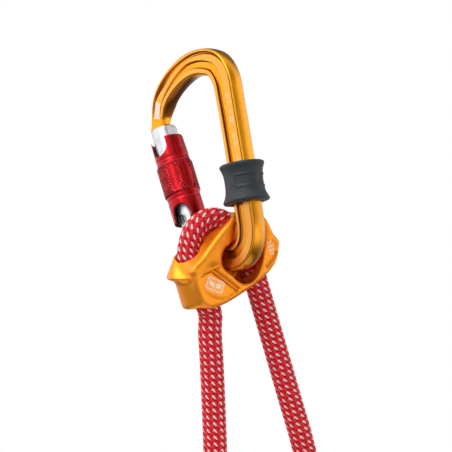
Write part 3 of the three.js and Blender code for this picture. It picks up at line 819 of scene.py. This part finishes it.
# Painted shade goes into the bar's edge attribute as negative values; its mark attribute holds the etched marks
# and the painted highlight.
piece("carabiner_bar", bar_vertices, bar_faces, ORANGE_BAR, "carabiner", "carabiner_orange", ["carabiner_frame"],
      edge=-1.2 * bar_painted_shade, mark=np.maximum(carabiner_mark(*bar_vertices.T), bar_painted_highlight))
forged("nose_tongue", nose_field, (-36, -2.5, -30), (-27, 2.5, -19), 0.3, straight(0, 0, 0), ORANGE_BAR,
       "carabiner", "carabiner_orange")
forged("hinge_tongue", hinge_field, (-16, -2.8, -86), (1, 2.8, -68), 0.36, straight(0, 0, 0), ORANGE_BAR,
       "carabiner", "carabiner_orange")


# ---- gate
def gate_field(x, y, z):
    r = np.hypot(x, y)
    low = extruded(r - 5.0, z, 16, 22, 0.8)
    collar = extruded(r - 6.25, z, *span(36.2, GATE_TOP), 1.9)
    body = fuse(low, collar, 0.8)
    body = overlap(body, np.abs(y) - FRAME_HALF_THICK - 2 * ease(z, 6.2, 8.2), 0.8)
    body = overlap(body, np.hypot(x, np.minimum(z, 0)) - 5.2, 0.6)
    body = carve(body, box2(y, z, 2.45, 6.5, 0.5), 0.4)
    body = carve(body, np.maximum(box2(y, z - GATE_TOP, 2.0, 6.0, 0.5), x - 2.6), 0.4)
    return np.maximum(body, 1.9 - np.hypot(x, z))


forged("gate_bar", gate_field, (-7, -7, -7), (7, 7, GATE_TOP + 1), 0.34, ON_GATE, SILVER, "gate", "gate_silver",
       ["gate_lever"])

# ---- locking sleeve
SLEEVE = (4.3, 47.4)
KNURL = (18.2, 33.8)
TOWARDS = math.radians(-47.4)  # the bearing about the gate that the smooth pads are set from
WINDOW_TURN = math.radians(18)


def windows(x, y, z, grow):
    """What the sleeve's two openings leave out, on one side only."""
    top = box2(x, z - SLEEVE[1] - 4, 4.5 + grow, 12.9 + grow, 4.3 + grow)
    c, s = math.cos(WINDOW_TURN), math.sin(WINDOW_TURN)
    low = box2(x * c + y * s, z - SLEEVE[0] + 4, 4.3 + grow, 11.9 + grow, 4.2 + grow)
    return np.minimum(np.maximum(top, y + 1), np.maximum(low, y * c - x * s + 1))


def pads(a, height):
    """1 where the grip is smooth: two pads with bowed edges beside each other, and the same on the far side."""
    bow = 1 - height**2
    smooth = 0
    for half in (0, math.pi):
        b = np.degrees((a - TOWARDS - half + math.pi) % (math.tau) - math.pi)
        for low, high in ((-23 - 3 * bow, -10 + 21 * bow), (27 - 11 * bow, 44 + 17 * bow)):
            smooth = np.maximum(smooth, ease(b, low - 1.5, low + 1.5) * (1 - ease(b, high - 1.5, high + 1.5)))
    return smooth * (1 - ease(np.abs(height), 0.86, 0.92))


def sleeve_field(x, y, z):
    r = np.hypot(x, y)
    a = np.arctan2(y, x)
    skirt = 8.15 - 0.25 * ease(z, KNURL[1] + 3, SLEEVE[1])
    band = ease(z, KNURL[0] - 0.2, KNURL[0] + 0.4) * (1 - ease(z, KNURL[1] - 0.4, KNURL[1] + 0.2))
    # A diamond knurl from two crossing helices.
    lead, turns = z / 1.5, a * 34 / (math.tau)
    knurl = np.minimum(np.abs((turns + lead) % 1 - 0.5), np.abs((turns - lead) % 1 - 0.5)) * 2
    mid, half = span(*KNURL)
    pad = pads(a, (z - mid) / half)
    outer = skirt + band * ((1 - pad) * (0.75 - 0.5 * (1 - knurl) ** 3) + pad * 0.28)
    for ring in (KNURL[0] - 2.4, KNURL[1] + 2.4):
        outer = outer - 0.2 * np.exp(-(((z - ring) / 0.45) ** 2))
    shell = extruded(r - outer, z, *span(*SLEEVE), 0.8)
    shell = carve(shell, r - 7.45, 0.3)
    return carve(shell, windows(x, y, z, 0), 0.4)


forged("locking_sleeve_shell", sleeve_field, (-9.6, -9.6, 3.4), (9.6, 9.6, 48.2), 0.26, ON_GATE, RED_SLEEVE,
       "sleeve", "sleeve_red", ["locking_sleeve"])


def liner_field(x, y, z):
    r = np.hypot(x, y)
    bush = box2(r - 6.9, z - 25.6, 0.45, 20.4, 0.3)
    bush = carve(bush, box2(r - 7.5, z - 27.2, 0.75, 6.2, 0.2), 0.2)
    return carve(bush, windows(x, y, z, 0.12), 0.3)


forged("liner_bush", liner_field, (-7.8, -7.8, 4.6), (7.8, 7.8, 46.6), 0.36, ON_GATE, LINER, "sleeve_core",
       "liner_black", ["sleeve_liner"])


def wire(name, points, radius, material, body, replaced=()):
    """A round wire in the gate's frame along the points, its ends domed."""
    sides = 12
    line = even(spline(points, per_span=6), max(radius * 0.7, 0.18))
    s = along(line)
    dome = np.sqrt(np.clip(1 - (1 - np.minimum(s, s[-1] - s) / radius).clip(0, 1) ** 2, 0.02, 1))
    vertices = placed(tube_rings(line, radius * dome[:, None], sides).reshape(-1, 3), ON_GATE)
    last = (len(line) - 1) * sides
    ends = [list(range(sides))[::-1], list(range(last, last + sides))]
    faces = tube_quads(len(line), sides)[0].tolist() + ends
    piece(name, vertices, faces, material, body, "steel", replaced)


def helix(radius, low, high, turns):
    a = np.linspace(0, math.tau * turns, int(turns * 20) + 1)
    return np.stack([radius * np.cos(a), radius * np.sin(a), np.linspace(low, high, len(a))], -1)


wire("sleeve_spring_coil", helix(6.92, 21.4, 33, 5), 0.32, STEEL, "sleeve_core", ["sleeve_spring"])
LOOP = [(-2.1, -5.45, 3.4), (-2.1, -5.5, 5.8), (-1.7, -5.55, 7.2), (-0.6, -5.6, 7.9), (0.5, -5.55, 7.2),
        (0.9, -5.5, 5.8), (0.9, -5.45, 3.4)]
wire("spring_tail_loop", LOOP, 0.34, LINER, "gate")
wire("gate_spring_coil", helix(1.6, 14.4, 29, 9), 0.3, STEEL, "gate", ["gate_spring"])


def pin_field(radius, half, head=0.0, head_long=0.0):
    """A pin along Y with rounded ends and, where head is given, a head at each end."""

    def field(x, y, z):
        across = np.hypot(x, z)
        shaft = extruded(across - radius, y, 0, half, 0.25)
        if head:
            for middle in (head_long / 2 - half, half - head_long / 2):
                shaft = np.minimum(shaft, extruded(across - head, y, middle, head_long / 2, 0.18))
        return shaft

    return field


forged("hinge_rivet_pin", pin_field(1.6, 5.4, 2.5, 0.42), (-3, -6, -3), (3, 6, 3), 0.16, ON_GATE, STEEL,
       "carabiner", "steel", ["hinge_rivet"])
forged("plunger_cross_pin", pin_field(1.0, 4.7), (-1.5, -5.2, -1.5), (1.5, 5.2, 1.5), 0.15,
       (GATE_TURN, HINGE + GATE_TURN @ (0, 0, 12.5)), STEEL, "gate", "steel", ["plunger_pin"])


def plunger_field(x, y, z):
    r = np.hypot(x, y)
    body = fuse(extruded(r - 1.8, z, 9.4, 1.8, 0.3), extruded(r - 0.95, z, 7.6, 1.1, 0.5), 0.6)
    return np.maximum(body, 1.5 - np.hypot(x, z - 12.5))


forged("gate_plunger_pin", plunger_field, (-2.5, -2.5, 6), (2.5, 2.5, 11.6), 0.16, ON_GATE, STEEL, "gate", "steel",
       ["gate_plunger"])


# ---- rubber keeper
def keeper_field(x, y, z):
    h = z / 9.3
    swell = 1 + 0.05 * (h < 0) * h * h + 0.26 * np.abs(h) ** 3
    shape = (np.sqrt((x / (9.7 * swell)) ** 2 + (y / (8.5 * swell)) ** 2 + 1e-9) - 1) * 8.9
    # A plain moulded border on each side, wrapped round the waist.
    bearing = np.abs(np.arctan2(y, x)) - math.radians(45)
    border = np.abs(box2(bearing * 9.2, z, 5.2, 2.7, 1.3))
    shape = shape - 0.3 * (1 - ease(border, 0.25, 0.6))
    body = extruded(shape, z, 0, 9.4, 1.7)
    return carve(body, box2(x, y, 6.3, 4.4, 1.6), 0.8)


forged("keeper_spool", keeper_field, (-14, -12, -10), (14, 12, 10), 0.42,
       (KEEPER_TURN, SPINE_TOP + (SPINE_LOW - SPINE_TOP) * KEEPER_AT), RUBBER, "keeper", "keeper_rubber",
       ["spine_keeper"])

# ---- rope adjuster
# Its own frame has u to the front, v to the tail side and w up.
FRONT = outline([
    (-21.6, -3.2), (-17, -0.6), (-14.2, 0.9), (-10.2, 3.6), (-5.2, 6.9), (-1.2, 9.2), (2.6, 11.4), (5.4, 13.2),
    (8.2, 14.4), (11.5, 14), (15, 13), (19, 11.2), (22.6, 8.4), (23.8, 4.4), (24.6, -0.4), (26.4, -4.6),
    (25.4, -7.4), (22.6, -12.4), (19.4, -15.2), (13.9, -17.9), (5.6, -20.5), (-0.1, -21.8), (-4.8, -22.9),
    (-9.3, -23.6), (-14.7, -23.8), (-18.6, -23.2), (-21.4, -20.4), (-22.4, -14.6), (-22.6, -8),
])
BACK = outline([
    (-20.6, -4.4), (-17.6, -1), (-14.2, 0.8), (-9.6, 3), (-5, 6.6), (0, 9.4), (5.4, 11.2), (10, 12.4),
    (15.6, 11.8), (19, 10.4), (22.4, 6.4), (24.2, 0), (25.6, -4.6), (22.4, -12.2), (14.6, -17.9), (5, -20.6),
    (-5, -22.8), (-14.7, -23.6), (-19.2, -21.6), (-20.8, -15), (-21.2, -9.6),
])
WINDOW = outline([
    (-3.0, -4.8), (-3.0, -10.2), (-0.6, -15.2), (3.0, -18.0), (7.1, -17.8), (11.0, -14.6), (15.2, -8.9),
    (18.2, -0.6), (19.6, 5.2), (18.6, 9.4), (14, 10.4), (10, 8.8), (6.4, 5.6), (2.4, 2.2), (-0.8, -1.2),
])
PANEL = outline([
    (-10.9, -7.6), (-2.6, -18.6), (-4.4, -20.2), (-9.4, -20.9), (-14.3, -18.6), (-18.2, -14.6), (-19.4, -10.6),
    (-16.8, -7.2),
])
SIDE_PANEL = outline([(17.6, -13.4), (22.4, -8.8), (23.8, -4.4), (22.4, -3.2), (17.4, -9.6), (15.4, -12.6)])
FRONT_SLOTS = ((-11.4, -6.9), (-2.2, -18.9)), ((15.9, -13.9), (22.3, -9.4))  # from and to
ARM = near_line(even(np.array([
    ADJUSTER_TURN.T @ (np.array([x, 0, z]) - ADJUSTER_AT) for x, z in even(BAR[int(len(BAR) * 0.72):], 3)
]), 3))
ROPE_ROOM = near_line(even(spline([(0, -CHANNEL, -30), *BIGHT_LOCAL, (0, CHANNEL, -30)]), 2))


def adjuster_field(u, v, w):
    front = extruded(FRONT(v, w), u, 9.3, 2.9, 2.2)
    back_wall = extruded(BACK(v, w), u, -9.3, 2.7, 2.2)
    # Load side: a tube under a flange that spreads like a bell from the rope's mouth.
    tube = extruded(np.hypot(u, v + 14.7) - 11.0, w, -13.9, 8.1, 2.0)
    reach = np.hypot(u, v + 14.9)
    bell = (reach - 6.9 - 0.74 * (4.7 - w)) * 0.8
    bell = overlap(bell, (reach - 14.3 - (w + 5.6) * 1.5) * 0.55, 1.3)
    rim = 4.6 - 0.9 * np.maximum(u + 3, 0) + 0.15 * np.minimum(u + 3, 0) + 0.72 * (v + 21.6)
    bell = overlap(bell, np.maximum((w - rim) * 0.7, -w - 9.5), 1.2)
    # Tail side: a tube, and a hood over the rope behind the arm.
    tail_tube = extruded(np.hypot(u, v - CHANNEL) - 9.6, w, -4, 14.0, 2.0)
    tail_tube = overlap(tail_tube, FRONT(v, w) + 0.4, 1.5)
    hood = overlap(ROPE_ROOM(u, v, w) - 8.0, 7.5 - v, 1.2)
    hood = overlap(hood, FRONT(v, w) - 0.6, 1.2)
    floor = extruded(box2(v - 2.5, w + 19.9, 10.5, 2.2, 1.2), u, 0, 10, 0.5)
    floor = overlap(floor, FRONT(v, w) + 0.3, 1.0)
    body = fuse(front, back_wall, 1.0)
    for part, fillet in ((tube, 2.2), (bell, 1.6), (tail_tube, 2.0), (hood, 2.0), (floor, 1.6)):
        body = fuse(body, part, fillet)
    opening = WINDOW(v, w)
    body = carve(body, np.maximum(opening, 4.5 - u), 1.6 + 2.4 * ease(w, -9, 2))
    body = carve(body, extruded(opening + 0.6, u, 1, 8.2, 1.5), 1.2)
    # A saddle that carries the rope's bend behind the front wall.
    lift = np.clip((11.0 - u) * 0.45, 0, 4.4)
    saddle = carve(extruded(FRONT(v, w - lift), u, 6.5, 5.3, 1.0), opening - 0.4, 1.0)
    bounds = np.maximum(np.maximum(v - 9.5 + 5 * ease(w, 0, 4), w - 11.0), -w - 4)
    body = fuse(body, overlap(saddle, bounds, 1.5), 2.5)
    slot, side_slot = (np.sqrt(to_segment((v, w), *ends)[0]) for ends in FRONT_SLOTS)
    for hollow, fillet in (
        (ROPE_ROOM(u, v, w) - 5.95, 0.5),
        # The rope's mouth is wider than the rope on its outer side.
        (np.hypot(u, v + 16.1) - 6.6 + 0.24 * np.clip(3.5 - w, 0, 9), 0.4),
        (ARM(u, v, w) - 7.4, 1.2),
        # Relief on the front: a sunk panel and a slot, and a smaller pair on the tail side.
        (np.maximum(PANEL(v, w), 11.9 - u), 0.5),
        (np.maximum(slot - 0.85, 10.9 - u), 0.5),
        (np.maximum(SIDE_PANEL(v, w), 11.75 - u), 0.45),
        (np.maximum(side_slot - 0.6, 11.2 - u), 0.4),
    ):
        body = carve(body, hollow, fillet)
    return body


def adjuster_mark(u, v, w):
    """A pale open book in a border on the panel, for "read the instructions", and three bars on the tail side."""
    front = ease(u, 10.6, 11.2)
    p, q = ((v + 12.7) * 0.783 - (w + 13.4) * 0.622), ((v + 12.7) * 0.622 + (w + 13.4) * 0.783)
    border = np.abs(box2(p, q, 4.3, 2.6, 0.9)) - 0.28
    page = box2(np.abs(p) - 1.85, q - 0.3 * np.abs(p) + 0.5, 1.45, 1.1, 0.15)
    bars = box2(v - 20.6, (w + 6.2) % 2.0 - 1.0, 1.2, 0.45, 0.2)
    bars = np.maximum(bars, np.abs(w + 6.2) - 3.0)
    return front * ease(-np.minimum(np.minimum(border, page), bars), -0.25, 0.15)


forged("adjuster_forging", adjuster_field, (-14.5, -30.5, -26), (14.5, 29, 24), 0.42, ON_ADJUSTER, ORANGE_BODY,
       "adjuster", "adjuster_orange", ["adjuster_body"], adjuster_mark)

# ---- sewn eye, stopper and tie
def slab(p, q, half, r):
    """A flat shape with round ends: half its width along p, and its radius."""
    return np.hypot(np.maximum(np.abs(p) - half + r, 0), q) - r


def cover_field(x, y, z):
    middle, half = span(*EYE_COVER)
    waist = 0.5 * np.cos((z - middle) / half * math.pi)
    flat = np.maximum(slab(y, x, 12.2 + 0.3 * waist, 6.6), np.abs(x) - 6.6)
    body = extruded(flat, z, middle, half, 1.2)
    ribs = 0.28 * np.clip(np.cos((z - EYE_COVER[0]) * math.tau / 3.8), 0, 1) ** 2
    return body + ribs * (np.abs(z - middle) < 13) * (np.abs(y) > 5)


cover = forged("eye_cover_moulding", cover_field, (-8, -14, EYE_COVER[0] - 1), (8, 14, EYE_COVER[1] + 1), 0.5,
               straight(LOAD_X, 0, 0), COVER, "adjuster", "cover_black", ["eye_sleeve"])


def thimble_field(x, y, z):
    r = np.hypot(y, z)
    body = box2(x, r - 8.4, 6.5, 0.75, 0.6)
    for side in (-1, 1):
        body = fuse(body, np.hypot(x - side * 6.0, r - 8.8) - 0.9, 0.5)
    return body


thimble = forged("eye_thimble_ring", thimble_field, (-7.6, -10.5, -10.5), (7.6, 10.5, 10.5), 0.4,
                 straight(LOAD_X, 0, EYE_CENTRE), THIMBLE, "adjuster", "thimble_plastic", ["eye_thimble"])


def stopper_field(x, y, z):
    h = z / STOPPER_LENGTH
    radius = 6.6 + 0.8 * ease(h, 0.0, 0.1) - 1.1 * ease(h, 0.82, 1.0)
    body = extruded(np.hypot(x, y) - radius, z, STOPPER_LENGTH / 2, STOPPER_LENGTH / 2, 0.9)
    ribs = 0.3 * np.clip(np.cos(z * math.tau / 3.0), 0, 1) ** 2
    return body + ribs * ease(h, 0.18, 0.22) * (1 - ease(h, 0.74, 0.78))


stopper = forged("tail_stopper_moulding", stopper_field, (-8.5, -8.5, -1), (8.5, 8.5, STOPPER_LENGTH + 1), 0.42,
                 straight(LOAD_X, -APART, STOPPER_FROM), COVER, "adjuster", "cover_black", ["tail_stopper"])


def cap_field(x, y, z):
    r = np.hypot(x, y)
    lump = 0.25 * np.cos(3 * np.arctan2(y, x) + 1.1) * np.clip(r / 4, 0, 1)
    return extruded(r - 5.1 - lump, z - lump, 1.9, 1.9, 1.5)


cap = forged("tail_melted_end", cap_field, (-6.5, -6.5, -1), (6.5, 6.5, 5), 0.36,
             straight(LOAD_X, -APART, STOPPER_FROM + STOPPER_LENGTH + JOIN), CAP, "adjuster", "rope_cap",
             ["tail_end_cap"])


def tie_field(x, y, z):
    """A band of tape round the three strands, with its loose end laid back over it."""
    slack = 0.25 * np.sin(y * 0.55)
    outer = slab(y, x - 0.3 * slack, 3 * ROPE_R + 2.4, ROPE_R + 2.1)
    inner = slab(y, x, 3 * ROPE_R + 1.2, ROPE_R + 0.75)
    band = np.maximum(extruded(outer, z, TIE_Z, TIE_HALF, 0.5), -inner)
    flap = np.maximum(np.abs(outer - 0.55) - 0.5, box2(y - 3, z - TIE_Z, 9, TIE_HALF - 0.8, 1.0))
    return np.minimum(band, np.maximum(flap, -x))


tie = forged("hank_tie_tape", tie_field, (-9.5, -21, TIE_Z - 8), (9.5, 21, TIE_Z + 8), 0.42,
             straight(LOAD_X, 0, 0), TAPE, "adjuster", "strap_webbing", ["hank_tie"])

float(along(load_line)[-1] * MM)
float(along(tail_line)[-1] * MM)

# ---- floor, light and surroundings
scene.view_settings.view_transform = "Standard"
scene.view_settings.look = "None"

floor_mesh = bpy.data.meshes.new("floor")
FLOOR_Z, FLOOR_R = -0.46, 0.32
rim = [(FLOOR_R * math.cos(k * math.pi / 48), FLOOR_R * math.sin(k * math.pi / 48), FLOOR_Z) for k in range(96)]
floor_mesh.from_pydata(rim, [], [list(range(96))])
floor = linked("floor", floor_mesh)
ground = surface_tree("pale_floor")
ground.shade(Base_Color=(0.86, 0.86, 0.86, 1), Roughness=0.9)
floor_mesh.materials.append(ground.owner)

KEY_AT, MIDDLE = (0.0, -0.9, 0.75), (0.0, 0.0, -0.06)
softbox = bpy.data.lights.new("key", "AREA")
softbox.shape = "RECTANGLE"
softbox.size, softbox.size_y, softbox.energy = 0.7, 0.7, 5
aimed("key", softbox, KEY_AT, MIDDLE)

LOBES = (  # bright and dark patches of the tent: direction, cosines of the full and the empty edge, and gain
    ((-0.82, -0.5, 0.25), 0.93, 0.7, 0.4),
    ((0.66, 0.72, 0.1), 0.97, 0.8, 0.4),
    ((0.95, 0.2, -0.25), 0.97, 0.8, 0.55),
    ((0.77, 0.12, 0.62), 0.93, 0.78, -0.65),
    ((-0.35, 0.72, 0.6), 0.96, 0.8, -0.85),
    ((0.1, -0.1, 1.0), 0.98, 0.7, 0.5),
)


def studio():
    """A bright tent: pale all round and above, dark below, with brighter sides and some darker gaps."""
    scene.world = bpy.data.worlds.new("studio")
    t = Tree(scene.world)
    towards = t.add("ShaderNodeTexCoord").outputs["Generated"]
    height = t.parts(towards)[2]
    light = t.spread(height, -0.75, 0.0, 0.1, 0.92, "SMOOTHSTEP")
    for direction, inner, outer, gain in LOBES:
        facing = t.add("ShaderNodeVectorMath", {"operation": "DOT_PRODUCT"}, _0=towards,
                       _1=Vector(direction).normalized()).outputs[1]
        light = t.times(light, t.spread(facing, outer, inner, 1.0, 1.0 + gain, "SMOOTHSTEP"))
    lit = t.add("ShaderNodeBackground", Color=(1, 1, 1, 1), Strength=light)
    seen = t.add("ShaderNodeBackground", Color=(1, 1, 1, 1))
    camera_ray = t.add("ShaderNodeLightPath").outputs["Is Camera Ray"]
    both = t.add("ShaderNodeMixShader", _0=camera_ray, _1=lit.outputs[0], _2=seen.outputs[0])
    t.add("ShaderNodeOutputWorld", Surface=both.outputs[0])


studio()
